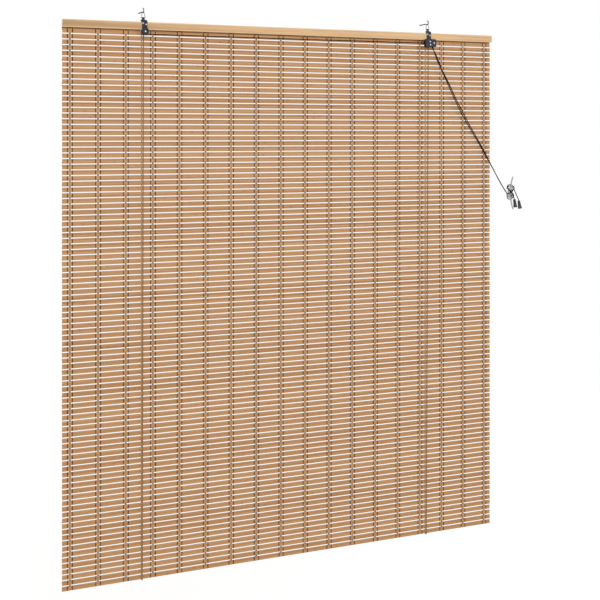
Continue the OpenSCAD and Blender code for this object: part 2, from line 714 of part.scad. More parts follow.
// Tassel: a bell turned in one piece, open at its mouth, with a hole for the cord
module tassel(route, lean) {
    top = route[len(route) - 1] + tassel_seat * [-sin(lean), 0, cos(lean)];
    r0 = tassel_top_d / 2;
    r1 = tassel_mouth_d / 2;
    outside = [for (i = [0 : 8]) let (s = i / 8)
        [r0 + (r1 - r0) * (0.35 * s + 0.65 * pow(s, 4)), -tassel_l * s]];
    inside = [for (i = [8 : -1 : 0]) let (s = i / 8)
        [outside[i][0] - tassel_wall, -tassel_web - (tassel_l - tassel_web) * s]];
    color("#141416") translate(top) rotate([0, -lean, 0]) rotate_extrude()
        polygon(concat([[tassel_hole_d / 2, 0]], outside, inside,
                       [[tassel_hole_d / 2, -tassel_web]]));
}

module left_tassel() { tassel(left_route, left_lean); }
module right_tassel() { tassel(right_route, right_lean); }

module tassel_knots() {
    color("#6d4a33") for (route = [left_route, right_route])
        translate(route[len(route) - 1]) sphere(knot_r);
}

head_rail();
slat_mat();
front_warp_threads();
back_warp_threads();
clamp_strips();
mat_staples();
left_hook();
right_hook();
left_bail();
right_bail();
left_bracket();
right_bracket();
bracket_screws();
left_sheave();
left_axle();
left_guide_pin();
keeper_roller();
cord_roller();
lock_cam();
lock_rivets();
cord_staples();
rail_knots();
left_cord();
right_cord();
cleat();
left_tassel();
right_tassel();
tassel_knots();
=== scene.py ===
# %% [markdown]
# # A bamboo roll up blind
# This lesson dresses a finished CAD model of a woven bamboo blind. The CAD holds the sizes, the
# places and everything that moves. Blender adds what makes bamboo look like bamboo: single slats,
# twisted threads, cords, and a procedural finish for each material.
# Every new piece is built in metres, in the same frame as the CAD: X runs along the head rail, the
# wall is Y = 0, the front faces -Y and Z = 0 is the height of the two hook screws.
# The order is camera, cords, mat, threads, rail, metal, hooks, tassels, knots, and the light last.

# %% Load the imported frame
import math
import random

import bmesh
import bpy
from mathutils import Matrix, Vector


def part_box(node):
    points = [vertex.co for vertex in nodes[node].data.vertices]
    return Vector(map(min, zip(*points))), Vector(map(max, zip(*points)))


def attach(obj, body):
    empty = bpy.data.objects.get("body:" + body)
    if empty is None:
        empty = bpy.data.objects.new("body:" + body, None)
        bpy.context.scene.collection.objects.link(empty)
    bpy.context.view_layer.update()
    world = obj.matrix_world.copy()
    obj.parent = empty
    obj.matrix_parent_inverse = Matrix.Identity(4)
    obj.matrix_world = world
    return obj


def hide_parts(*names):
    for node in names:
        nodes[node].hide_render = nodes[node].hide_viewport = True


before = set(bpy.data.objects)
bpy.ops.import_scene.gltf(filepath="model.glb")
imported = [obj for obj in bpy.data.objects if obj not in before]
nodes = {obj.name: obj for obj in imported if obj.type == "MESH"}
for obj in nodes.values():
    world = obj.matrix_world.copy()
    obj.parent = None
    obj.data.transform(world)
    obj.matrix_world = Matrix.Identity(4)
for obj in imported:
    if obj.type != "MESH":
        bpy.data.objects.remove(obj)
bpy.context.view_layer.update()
BLIND = "blind"

# %% [markdown]
# The photograph was taken from the left of the blind, with a level camera whose lens was shifted
# down. A level camera keeps upright lines upright, which is why the edges of the mat don't lean.
# A camera that looks down would make them meet below. Blender has the same shift, so the picture
# is matched by a place, one turn and one shift.

# %% Camera
CAMERA_PLACE = (-1.3044, -3.1268, -0.3438)
CAMERA_YAW = 23.04
camera_data = bpy.data.cameras.new("camera")
camera_data.sensor_width = 36
camera_data.lens = 66.74
camera_data.shift_y = -0.28045
camera_data.clip_start = 0.05
camera_data.clip_end = 60
camera = bpy.data.objects.new("camera", camera_data)
camera.location = CAMERA_PLACE
camera.rotation_euler = (math.radians(90), 0, math.radians(-CAMERA_YAW))
bpy.context.scene.collection.objects.link(camera)
bpy.context.scene.camera = camera
print("camera at", CAMERA_PLACE)

# %% [markdown]
# A material in this file is a Principled shader with a few texture nodes in front of it. Small
# helpers keep the node work readable: one starts a material, one adds a node with its settings,
# one joins an output to an input, and the rest make the few nodes that every finish needs. Image
# textures would be quicker to set up, but they would have to be painted for each piece.

# %% Start a material
def start_material(name, colour, roughness, metallic=0.0):
    """A material with its Principled shader: returns the material, its nodes and the shader."""
    material = bpy.data.materials.new(name)
    material.use_nodes = True
    tree = material.node_tree
    shader = tree.nodes["Principled BSDF"]
    shader.inputs["Base Color"].default_value = linear(colour)
    shader.inputs["Roughness"].default_value = roughness
    shader.inputs["Metallic"].default_value = metallic
    return material, tree, shader


def linear(colour):
    """A colour picked on screen, 0 to 255, as the linear value that a shader takes."""
    shares = [c / 255 for c in colour]
    return [s / 12.92 if s <= 0.04045 else ((s + 0.055) / 1.055) ** 2.4 for s in shares] + [1.0]


# %% Nodes and links
def add(tree, kind, inputs=None, **settings):
    """A new shader node: inputs are values for its sockets, settings are its properties."""
    node = tree.nodes.new("ShaderNode" + kind)
    for key, value in settings.items():
        setattr(node, key, value)
    for key, value in (inputs or {}).items():
        node.inputs[key].default_value = value
    return node


def join(tree, out_socket, in_socket):
    tree.links.new(out_socket, in_socket)


# %% Ramps and coordinates
def ramp(tree, fac, stops):
    """A colour ramp: stops are (position, screen colour)."""
    node = add(tree, "ValToRGB")
    elements = node.color_ramp.elements
    while len(elements) < len(stops):
        elements.new(0.5)
    for element, (position, colour) in zip(elements, stops):
        element.position = position
        element.color = linear(colour)
    join(tree, fac, node.inputs["Fac"])
    return node.outputs["Color"]


def stretched(tree, source, scale, place=(0, 0, 0)):
    """Coordinates scaled differently along each axis, for grain and brushed metal."""
    mapping = add(tree, "Mapping")
    mapping.inputs["Scale"].default_value = scale
    mapping.inputs["Location"].default_value = place
    join(tree, source, mapping.inputs["Vector"])
    return mapping.outputs["Vector"]


# %% Noise, bump and mix
def noise(tree, vector, scale=1.0, detail=4.0, rough=0.5):
    node = add(tree, "TexNoise", {"Scale": scale, "Detail": detail, "Roughness": rough})
    join(tree, vector, node.inputs["Vector"])
    return node.outputs["Fac"]


def bump(tree, shader, height, distance, strength=0.5):
    node = add(tree, "Bump", {"Distance": distance, "Strength": strength})
    join(tree, height, node.inputs["Height"])
    join(tree, node.outputs["Normal"], shader.inputs["Normal"])


def mixed(tree, fac, first, second, blend="MIX"):
    """A colour mix; fac, first and second are sockets, numbers or screen colours."""
    node = add(tree, "Mix", data_type="RGBA", blend_type=blend)
    for key, value in ((0, fac), (6, first), (7, second)):
        socket = node.inputs[key]
        if isinstance(value, bpy.types.NodeSocket):
            join(tree, value, socket)
        else:
            socket.default_value = value if key == 0 else linear(value)
    return node.outputs[2]


# %% [markdown]
# The cords are limp twisted line, about two millimetres thick. Each lift cord is tied behind the
# rail, runs down behind the mat, under it and up the front, over a pulley, through the lock and
# down to the cleat. A cord's shape is a sum of rounded strands laid side by side in a spiral, so
# its section here is a circle with three lobes that turns as it goes.
# A plain bevelled curve would be quicker, but it can't show the lay of the strands.
# The route points repeat the ones in the CAD source, in millimetres.

# %% Route of the left cord
LEFT_ROUTE = [
    (-471.5, -4.2, -32), (-471.5, -4, -50), (-471.5, -3.1, -1600), (-471.5, -3.1, -1627.6),
    (-471.5, -3.6, -1629.5), (-471.5, -5, -1630.9), (-471.5, -6.9, -1631.4),
    (-471.5, -8.8, -1630.9), (-471.5, -10.2, -1629.5), (-471.5, -10.7, -1627.6),
    (-471.5, -11, -1600), (-471.5, -24.6, -62), (-471.5, -24.6, -57),
    (-470.9, -24.6, -54.6), (-469.1, -24.6, -52.8), (-466.7, -24.6, -52.2),
    (-464.3, -24.6, -52.8), (-462.5, -24.6, -54.6), (-461.9, -24.6, -57),
    (-462, -24.6, -61.5), (-461.6, -24.6, -63), (-460.6, -24.6, -64), (-459.2, -24.6, -64.4),
    (-455, -24.6, -64.4), (0, -25.5, -63.6), (455, -26.4, -62), (464.6, -26.4, -62),
    (466.9, -26.4, -62.6), (468.6, -26.4, -64.3), (475.5, -26.4, -77), (483, -26.5, -97),
    (494, -25.8, -122), (512, -25.4, -151), (536, -23.6, -190), (568, -21.6, -247),
    (612, -20.3, -318), (657, -20.6, -387), (704, -17.5, -462), (745, -15.5, -526),
    (764, -15.5, -548), (771, -16.6, -547), (780, -16.8, -541), (788, -14.5, -535),
    (793.4, -9.5, -529), (788.4, -5.4, -521.8), (780, -4.5, -519.6), (771.6, -5.2, -521.8),
    (765.8, -9.6, -529), (770, -16, -537.4), (777, -18.7, -546.4), (783, -19.8, -555.4),
    (786.2, -18.9, -561.6), (787.1, -18.5, -564.4), (787.5, -18.5, -566.6),
    (789.4, -18.5, -577.1)]
print("left cord:", len(LEFT_ROUTE), "route points")

# %% Route of the right cord
RIGHT_ROUTE = [
    (460, -4.2, -32), (460, -4, -50), (460, -3.1, -1600), (460, -3.1, -1627.6),
    (460, -3.6, -1629.5), (460, -5, -1630.9), (460, -6.9, -1631.4), (460, -8.8, -1630.9),
    (460, -10.2, -1629.5), (460, -10.7, -1627.6), (460, -11, -1600), (460, -22.8, -75),
    (460, -22.8, -66.6), (460.6, -22.8, -64.3), (462.3, -22.8, -62.6), (464.6, -22.8, -62),
    (466.9, -22.8, -62.6), (468.6, -22.8, -64.3), (475.5, -22.8, -77), (488, -22.6, -97),
    (500, -22.4, -122), (512, -22.2, -151), (533, -21.6, -190), (563, -20.6, -247),
    (607, -18.8, -318), (655, -17.2, -387), (705, -14.8, -462), (747, -13, -526),
    (762, -12.8, -547), (765, -10.6, -557), (770.4, -6, -564.6), (780, -4, -567.4),
    (787, -5.4, -565), (790.6, -9.6, -558.6), (787.4, -14.4, -551.4), (780, -14.4, -544.4),
    (772.8, -14.5, -537), (768.8, -9, -531.4), (773, -5.2, -525.6), (780, -4, -524.2),
    (787.2, -5.2, -526), (791, -9.4, -532), (793.4, -14.6, -542), (794.6, -20.6, -553),
    (796, -26, -562), (797.2, -29.2, -568.4), (797.6, -29.5, -570.6), (799.7, -29.5, -581.1)]
print("right cord:", len(RIGHT_ROUTE), "route points")

# %% Sizes of the cords
MM = 0.001
CORD_R = 0.0015  # drawn a little fuller than it is, as loose fibres make it look


def metres(route):
    return [Vector(p) * MM for p in route]


# %% [markdown]
# Route points are too far apart for a smooth bend, so a curve is drawn through them. A centripetal
# Catmull-Rom curve passes through every point and never loops between close ones, which matters
# where the points crowd round a pulley. It is then cut into equal short steps.

# %% Smooth line through route points
STEPS_PER_SPAN = 24


def through(points):
    """Points close together on a centripetal Catmull-Rom curve through the given ones."""
    first = points[0] * 2 - points[1]
    last = points[-1] * 2 - points[-2]
    line = [first, *points, last]
    dense = []
    for a, b, c, d in zip(line, line[1:], line[2:], line[3:]):
        t1 = (b - a).length ** 0.5
        t2 = t1 + (c - b).length ** 0.5
        t3 = t2 + (d - c).length ** 0.5
        for k in range(STEPS_PER_SPAN):
            t = t1 + (t2 - t1) * k / STEPS_PER_SPAN
            ab = a * ((t1 - t) / t1) + b * (t / t1)
            bc = b * ((t2 - t) / (t2 - t1)) + c * ((t - t1) / (t2 - t1))
            cd = c * ((t3 - t) / (t3 - t2)) + d * ((t - t2) / (t3 - t2))
            abc = ab * ((t2 - t) / t2) + bc * (t / t2)
            bcd = bc * ((t3 - t) / (t3 - t1)) + cd * ((t - t1) / (t3 - t1))
            dense.append(abc * ((t2 - t) / (t2 - t1)) + bcd * ((t - t1) / (t2 - t1)))
    return [*dense, points[-1]]


# %% Equal steps along a line
def even_steps(line, step):
    """The same line, cut into steps of nearly equal length."""
    lengths = [(b - a).length for a, b in zip(line, line[1:])]
    total = sum(lengths)
    count = max(2, round(total / step))
    out, done, k = [line[0]], 0.0, 0
    for i in range(1, count):
        target = total * i / count
        while k < len(lengths) - 1 and done + lengths[k] < target:
            done += lengths[k]
            k += 1
        out.append(line[k].lerp(line[k + 1], (target - done) / max(lengths[k], 1e-9)))
    return [*out, line[-1]], total


# %% [markdown]
# The section is carried along the line without spinning: at each step the last sideways direction
# is made square to the new heading. The lay of the strands is then added on purpose, one turn
# every nine millimetres. The walls between two rings are bridged face by face, and each face keeps
# a UV: across is the way round the cord, up is the length in centimetres.

# %% Mesh into the scene
def placed(name, bm):
    """The bmesh as an object at the origin, in the scene."""
    mesh = bpy.data.meshes.new(name)
    bmesh.ops.recalc_face_normals(bm, faces=bm.faces)
    bm.to_mesh(mesh)
    bm.free()
    thing = bpy.data.objects.new(name, mesh)
    bpy.context.scene.collection.objects.link(thing)
    return thing


# %% Cord maker
STRANDS = 3
STRAND_SWELL = 0.1
CORD_LAY = 0.009
CORD_STEP = 0.0013


def laid_cord(name, line, radius, sides=9):
    """A mesh tube with turning strands along a line of points."""
    bm = bmesh.new()
    uv = bm.loops.layers.uv.new("UVMap")
    side = Vector((1.0, 0.2, 0.1))
    rings, along, travelled = [], [], 0.0
    for i, point in enumerate(line):
        heading = (line[min(i + 1, len(line) - 1)] - line[max(i - 1, 0)]).normalized()
        side = (side - heading * side.dot(heading)).normalized()
        up = heading.cross(side)
        if i:
            travelled += (point - line[i - 1]).length
        turn = 2 * math.pi * travelled / CORD_LAY
        ring = []
        for k in range(sides):
            angle = 2 * math.pi * k / sides
            reach = radius * (1.0 + STRAND_SWELL * math.cos(STRANDS * (angle - turn)))
            outward = side * math.cos(angle) + up * math.sin(angle)
            ring.append(bm.verts.new(point + outward * reach))
        rings.append(ring)
        along.append(travelled)
    for i in range(len(rings) - 1):
        for k in range(sides):
            n = (k + 1) % sides
            face = bm.faces.new((rings[i][k], rings[i][n], rings[i + 1][n], rings[i + 1][k]))
            face.smooth = True
            corners = ((k, i), (k + 1, i), (k + 1, i + 1), (k, i + 1))
            for loop, (a, b) in zip(face.loops, corners):
                loop[uv].uv = (a / sides, along[b] * 100)
    bm.faces.new(list(reversed(rings[0])))
    bm.faces.new(rings[-1])
    return placed(name, bm)


# %% The two cords
cords = {}
for name, route in (("left_lift_cord", LEFT_ROUTE), ("right_lift_cord", RIGHT_ROUTE)):
    line, length = even_steps(through(metres(route)), CORD_STEP)
    cords[name] = (laid_cord(name, line, CORD_R), line, length)
    print(name, "is", round(length, 3), "m long in", len(line), "steps")

# %% [markdown]
# The finish of the cord is dark brown cotton. A wave texture on the UV map follows the strands, and
# its colour ramps paint shade into the grooves between them, darker than their tops, and a fine
# noise stands for loose fibres.
# In the photograph the upright runs over the mat look much paler than the pull cords. So each
# vertex carries how pale it is, and the material mixes by that.

# %% Cord finish
def cord_finish():
    material, tree, shader = start_material("brown_cord", (52, 36, 26), 0.85)
    uv = add(tree, "TexCoord").outputs["UV"]
    strands_painted_shade = add(tree, "TexWave", {"Scale": 1.0, "Distortion": 0.4}, bands_direction="DIAGONAL")
    join(tree, stretched(tree, uv, (9.0, 3.3, 1)), strands_painted_shade.inputs["Vector"])
    fuzz = noise(tree, stretched(tree, uv, (14, 22, 1)), 1.0, 3.0)
    # The ramps paint shade into the grooves between the strands, darker than their tops.
    deeper = ramp(tree, strands_painted_shade.outputs["Fac"],
                 [(0.0, (8, 5, 4)), (0.55, (34, 20, 13)), (1.0, (112, 64, 34))])
    paler = ramp(tree, strands_painted_shade.outputs["Fac"],
                 [(0.0, (116, 86, 56)), (0.55, (164, 126, 86)), (1.0, (192, 152, 108))])
    fade = add(tree, "Attribute", attribute_name="fade").outputs["Fac"]
    deeper = mixed(tree, fuzz, deeper, (42, 25, 16))
    join(tree, mixed(tree, fade, deeper, paler), shader.inputs["Base Color"])
    bump(tree, shader, strands_painted_shade.outputs["Fac"], 0.0002, 0.6)
    shader.inputs["Specular IOR Level"].default_value = 0.02
    return material


# %% Where the cords are paler
RUN_SLACK = 0.003
FADE_TOP = -0.06
FADE_SPAN = 0.03


def mark_pale_runs(thing, run_x):
    """1 on the upright runs at run_x, 0 on the rest, with a soft change at the top."""
    layer = thing.data.attributes.new("fade", "FLOAT", "POINT")
    values = []
    for v in thing.data.vertices:
        below = min(1.0, max(0.0, (FADE_TOP - v.co.z) / FADE_SPAN))
        values.append(below if v.co.x < run_x + RUN_SLACK else 0.0)
    layer.data.foreach_set("value", values)
    print(thing.name, "faded share", round(sum(values) / len(values), 2))


CORD_BROWN = cord_finish()
for thing, line, _ in cords.values():
    thing.data.materials.append(CORD_BROWN)
    mark_pale_runs(thing, line[0].x)

# %% [markdown]
# Bamboo is split lengthways into thin flat strips, planed, and left with a slightly crowned face.
# Two strips lie edge to edge as a pair, then comes a gap, a hundred times over. The CAD keeps the
# mat as one solid, so here each strip becomes a piece of its own shape again. One strip is made
# by extruding a small section, and it is then copied with small differences in length, thickness
# and bow, because no two strips are quite alike. Two hundred copies have to stay light, so a strip
# is extruded in only four steps. An Array modifier would be lighter still, but its copies are all
# the same.

# %% Sizes of the mat
low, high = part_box("slat_mat")
PAIRS = 100
SLAT_W = 0.0064
SEAM = 0.00015
PAIR_H = 2 * SLAT_W + SEAM
GAP = 0.003
PITCH = PAIR_H + GAP
MAT_TOP = high.z
MAT_FRONT = low.y
MAT_BACK = high.y
MAT_MIDDLE = (MAT_FRONT + MAT_BACK) / 2
HALF_W = high.x
SLAT_STEPS = 4
print("mat top", round(MAT_TOP, 4), "bottom", round(MAT_TOP - (PAIRS - 1) * PITCH - PAIR_H, 4))

# %% One strip
SLAT_SECTION = [(0.00030, 0.0032), (0.00068, 0.0029), (0.00088, 0.0019), (0.0009, 0.0),
                (0.00088, -0.0019), (0.00068, -0.0029), (0.00030, -0.0032)]


def strip():
    """A strip of bamboo along X, centred, made by extruding its section."""
    bm = bmesh.new()
    outline = [(-y, z) for y, z in SLAT_SECTION] + [(y, z) for y, z in reversed(SLAT_SECTION)]
    face = bm.faces.new([bm.verts.new((-HALF_W, y, z)) for y, z in outline])
    step = 2 * HALF_W / SLAT_STEPS
    for _ in range(SLAT_STEPS):
        grown = bmesh.ops.extrude_face_region(bm, geom=[face])["geom"]
        face = next(g for g in grown if isinstance(g, bmesh.types.BMFace))
        bmesh.ops.translate(bm, verts=face.verts, vec=(step, 0, 0))
    bmesh.ops.recalc_face_normals(bm, faces=bm.faces)
    mesh = bpy.data.meshes.new("strip")
    bm.to_mesh(mesh)
    bm.free()
    return mesh


# %% Two hundred strips
FULLER = 1.005  # strips a little wider than in the CAD, so that the seam of a pair is a hair
CAP_ANGLE = math.radians(60)


def bamboo_mat():
    """All strips in one mesh, each with its own shade, grain place and small faults."""
    shades = random.Random(41)
    pattern = strip()
    bm = bmesh.new()
    shade = bm.verts.layers.float.new("shade")
    shift = bm.verts.layers.float.new("shift")
    for i in range(PAIRS):
        for k in (0, 1):
            old = len(bm.verts)
            bm.from_mesh(pattern)
            bm.verts.ensure_lookup_table()
            mine = bm.verts[old:]
            centre_z = MAT_TOP - i * PITCH - SLAT_W / 2 - k * (SLAT_W + SEAM)
            tone, place = shades.random(), shades.uniform(0, 40)
            trim = shades.uniform(-0.0006, 0.0004)
            slide = shades.uniform(-0.0003, 0.0003)
            bow = shades.uniform(-0.00012, 0.00012)
            thick = shades.uniform(0.9, 1.0)
            for v in mine:
                x = v.co.x / HALF_W
                v.co.x = x * (HALF_W + trim) + slide
                v.co.y = v.co.y * thick + MAT_MIDDLE
                v.co.z = v.co.z * FULLER + centre_z + bow * (1 - x * x)
                v[shade] = tone
                v[shift] = place
    bpy.data.meshes.remove(pattern)
    for face in bm.faces:
        face.smooth = len(face.verts) == 4
    mat = placed("bamboo_slats", bm)
    mat.data.set_sharp_from_angle(angle=CAP_ANGLE)
    print("slats:", 2 * PAIRS, "faces:", len(mat.data.polygons))
    return mat


slats = bamboo_mat()

# %% [markdown]
# Carbonised bamboo is a warm tan. Its fibres run straight along the strip as fine streaks, every
# strip is a little lighter, darker or redder than its neighbour, and here and there a darker node
# of the culm crosses it. The streaks are a noise that is stretched along X, moved for each strip
# by its own attribute, so that the pattern never carries over from one strip to the next. The
# split edges, which face up and down, are a deeper orange than the planed faces.

# %% Bamboo finish
def bamboo_finish(name, light, middle, dark):
    material, tree, shader = start_material(name, middle, 0.5)
    place = add(tree, "TexCoord").outputs["Object"]
    shift = add(tree, "Attribute", attribute_name="shift").outputs["Fac"]
    shade = add(tree, "Attribute", attribute_name="shade").outputs["Fac"]
    moved = add(tree, "CombineXYZ")
    join(tree, shift, moved.inputs["X"])
    spot = add(tree, "VectorMath", operation="ADD")
    join(tree, place, spot.inputs[0])
    join(tree, moved.outputs["Vector"], spot.inputs[1])
    spot = spot.outputs["Vector"]
    fibres = noise(tree, stretched(tree, spot, (5, 500, 900)), 1.0, 5.0, 0.6)
    patches = noise(tree, stretched(tree, spot, (9, 60, 60)), 1.0, 2.0)
    grain = ramp(tree, fibres, [(0.28, dark), (0.5, middle), (0.72, light)])
    toned = mixed(tree, shade, (163, 122, 75), (211, 168, 119))
    coloured = mixed(tree, 0.4, grain, toned)
    red = ramp(tree, patches, [(0.45, (255, 255, 255)), (0.7, (248, 222, 206))])
    coloured = mixed(tree, 0.6, coloured, red, "MULTIPLY")
    facing = add(tree, "SeparateXYZ")
    join(tree, add(tree, "TexCoord").outputs["Normal"], facing.inputs["Vector"])
    edge = add(tree, "Math", operation="ABSOLUTE")
    join(tree, facing.outputs["Z"], edge.inputs[0])
    coloured = mixed(tree, edge.outputs[0], coloured, (214, 150, 78))
    culm = add(tree, "TexWave", {"Scale": 0.45, "Distortion": 0.6, "Detail": 1.0},
               bands_direction="X", wave_profile="SAW")
    join(tree, spot, culm.inputs["Vector"])
    joints = ramp(tree, culm.outputs["Fac"],
                  [(0.982, (255, 255, 255)), (0.988, (206, 178, 152)), (0.994, (255, 248, 235))])
    coloured = mixed(tree, 0.5, coloured, joints, "MULTIPLY")
    join(tree, coloured, shader.inputs["Base Color"])
    bump(tree, shader, fibres, 0.0003, 0.35)
    shader.inputs["Coat Weight"].default_value = 0.08
    shader.inputs["Coat Roughness"].default_value = 0.35
    return material


BAMBOO = bamboo_finish("carbonised_bamboo", (208, 165, 116), (187, 142, 96), (155, 113, 72))
slats.data.materials.append(BAMBOO)
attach(slats, BLIND)
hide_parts("slat_mat")

# %% [markdown]
# Eighteen pairs of thread lace the strips together. Seen from the front each thread shows as a
# dark dash down every pair of strips, and the two threads of a group meet in the gap. So a thread
# runs down the face, round the lower edge, slants in behind, meets its partner in the gap, and
# comes out again over the next edge. A curve through these points, with a thin square bevel, is
# enough at this size: it is repeated thousands of times and must stay light. A real weave made by
# simulation would look no different from a metre away.

# %% Path of one thread
GROUPS = 18
OUTER_GROUP = 0.678
GROUP_X = [-OUTER_GROUP + i * (2 * OUTER_GROUP / (GROUPS - 1)) for i in range(GROUPS)]
SPREAD = 0.007
THREAD_R = 0.0011
WANDER = 0.0004
TUCKED = 0.25
TUCK_Z, BACK_Z, EDGE_Z, FRONT_Z = 0.0006, 0.0016, 0.0007, 0.0014


def thread_path(x, side, wander):
    """Points of a thread from the top of the mat to its foot."""
    front, back = MAT_FRONT - THREAD_R * 0.3, MAT_BACK + THREAD_R * 0.5
    out = side * SPREAD
    points = []
    for i in range(PAIRS):
        top = MAT_TOP - i * PITCH
        foot = top - PAIR_H
        w = wander.uniform(-WANDER, WANDER)
        if i:
            points.append((x + side * THREAD_R * 0.9, MAT_MIDDLE, top + GAP / 2))
        points += [
            (x + out * TUCKED, back, top - TUCK_Z), (x + out + w, back, top - BACK_Z),
            (x + out + w, MAT_MIDDLE, top - EDGE_Z), (x + out + w, front, top - FRONT_Z),
            (x + out + w * 0.5, front, foot + FRONT_Z), (x + out + w, MAT_MIDDLE, foot + EDGE_Z),
            (x + out + w, back, foot + BACK_Z), (x + out * TUCKED, back, foot + TUCK_Z)]
    return points


# %% Curve into a mesh
def as_mesh(name, curve):
    """A curve turned into a mesh object at the origin."""
    drawn = bpy.data.objects.new(name + "_drawn", curve)
    bpy.context.scene.collection.objects.link(drawn)
    bpy.context.view_layer.update()
    shape = drawn.evaluated_get(bpy.context.evaluated_depsgraph_get())
    mesh = bpy.data.meshes.new_from_object(shape)
    mesh.name = name
    bpy.data.objects.remove(drawn)
    thing = bpy.data.objects.new(name, mesh)
    bpy.context.scene.collection.objects.link(thing)
    for face in mesh.polygons:
        face.use_smooth = True
    return thing


# %% All threads of one side
def threads(name, side, seed):
    wander = random.Random(seed)
    curve = bpy.data.curves.new(name, "CURVE")
    curve.dimensions = "3D"
    curve.bevel_depth = THREAD_R
    curve.bevel_resolution = 0
    curve.use_fill_caps = True
    for x in GROUP_X:
        points = thread_path(x, side, wander)
        spline = curve.splines.new("POLY")
        spline.points.add(len(points) - 1)
        for node, p in zip(spline.points, points):
            node.co = (*p, 1)
    return as_mesh(name, curve)


warp_left = threads("warp_threads_left", -1, 7)
warp_right = threads("warp_threads_right", 1, 8)
print("threads:", 2 * GROUPS,
      "faces:", len(warp_left.data.polygons) + len(warp_right.data.polygons))

# %% [markdown]
# Some threads in the photograph are nearly black and some are brown. Each vertex gets the shade of
# its own thread as an attribute, and the material mixes the two browns by it.

# %% Shade of each thread
RIGHT_DARK = [0.95, 0.5, 0.95, 1.0, 0.55, 0.8, 0.9, 0.6, 0.5,
              0.8, 0.6, 0.5, 0.45, 0.7, 0.5, 0.95, 0.5, 0.6]
LEFT_DARK = [0.6, 0.5, 0.55, 0.4, 0.7, 0.5, 0.45, 0.55, 0.85,
             0.45, 0.7, 0.75, 0.9, 0.4, 0.8, 0.45, 0.55, 0.95]


def shade_threads(thing, darkness):
    layer = thing.data.attributes.new("shade", "FLOAT", "POINT")
    step = GROUP_X[1] - GROUP_X[0]
    values = []
    for v in thing.data.vertices:
        group = min(GROUPS - 1, max(0, round((v.co.x - GROUP_X[0]) / step)))
        values.append(darkness[group])
    layer.data.foreach_set("value", values)


# %% [markdown]
# The thread itself is twisted cotton, dull and nearly without a highlight. A noise that is fine
# along Z breaks up its colour, as the twist of the yarn does.

# %% Thread finish
def thread_finish():
    material, tree, shader = start_material("warp_thread", (46, 34, 28), 0.85)
    place = add(tree, "TexCoord").outputs["Object"]
    shade = add(tree, "Attribute", attribute_name="shade").outputs["Fac"]
    tone = ramp(tree, shade, [(0.3, (82, 56, 40)), (0.7, (40, 26, 22)), (0.95, (8, 6, 8))])
    twist = noise(tree, stretched(tree, place, (600, 600, 1500)), 1.0, 2.0)
    join(tree, mixed(tree, 0.2, tone, ramp(tree, twist, [(0.4, (12, 9, 9)), (0.6, (70, 50, 38))])),
         shader.inputs["Base Color"])
    shader.inputs["Specular IOR Level"].default_value = 0.02
    bump(tree, shader, twist, 0.0002, 0.4)
    return material


THREAD = thread_finish()
for thing, darkness, node in ((warp_left, LEFT_DARK, "back_warp_threads"),
                              (warp_right, RIGHT_DARK, "front_warp_threads")):
    shade_threads(thing, darkness)
    thing.data.materials.append(THREAD)
    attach(thing, BLIND)
    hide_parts(node)

# %% [markdown]
# The head rail is a planed softwood batten, pale and even. Its CAD shape is already right, so it
# keeps its mesh and gets a finish: long lazy grain along X, fine pores, and rings on the two sawn
# ends, which are painted paler than the front as painted light. The normal tells the shader which
# faces are ends. Its long edges get a painted highlight, paler bands along them, and the rail is a
# little darker towards its left end.

# %% Rail finish
rail_low, rail_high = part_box("head_rail")
RAIL_MIDDLE = (rail_low.z + rail_high.z) / 2
HIGHLIGHT_FROM, HIGHLIGHT_TO = 0.0078, 0.0096  # up or down from the middle of the rail
DARK_FROM, DARK_TO = -0.7, -0.3  # along the rail, from its left end


